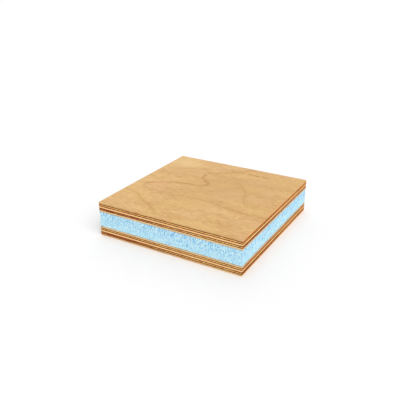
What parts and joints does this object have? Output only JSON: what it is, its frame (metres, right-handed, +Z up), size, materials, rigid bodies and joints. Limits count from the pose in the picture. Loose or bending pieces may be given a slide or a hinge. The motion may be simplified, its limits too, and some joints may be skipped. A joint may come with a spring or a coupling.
{
  "type": "plywood and foam sandwich panel",
  "caption": "Flat square sandwich panel: a rigid foam core glued between sheets of birch plywood, with bare sawn edges that show the veneers and the foam.",
  "frame": {"origin": "centre of the panel's underside, on the floor it lies on", "axes": "+Z up through the thickness; +X along the grain of the face veneers; +Y across it"},
  "size_m": [0.1, 0.1, 0.023],
  "materials": {
    "face_veneer": "sanded bare birch, grain along X",
    "crossband_veneer": "sawn bare birch, grain along Y",
    "centre_veneer": "sawn bare birch, grain along X",
    "back_veneer": "sawn bare birch, grain along X",
    "foam": "sawn closed-cell foam"
  },
  "bodies": {
    "root": {"lower_face_veneer": "face_veneer", "lower_outer_crossband": "crossband_veneer", "lower_centre_veneer": "centre_veneer", "lower_inner_crossband": "crossband_veneer", "lower_back_veneer": "back_veneer", "foam_core": "foam", "upper_back_veneer": "back_veneer", "upper_inner_crossband": "crossband_veneer", "upper_centre_veneer": "centre_veneer", "upper_outer_crossband": "crossband_veneer", "upper_face_veneer": "face_veneer"}
  },
  "joints": []
}
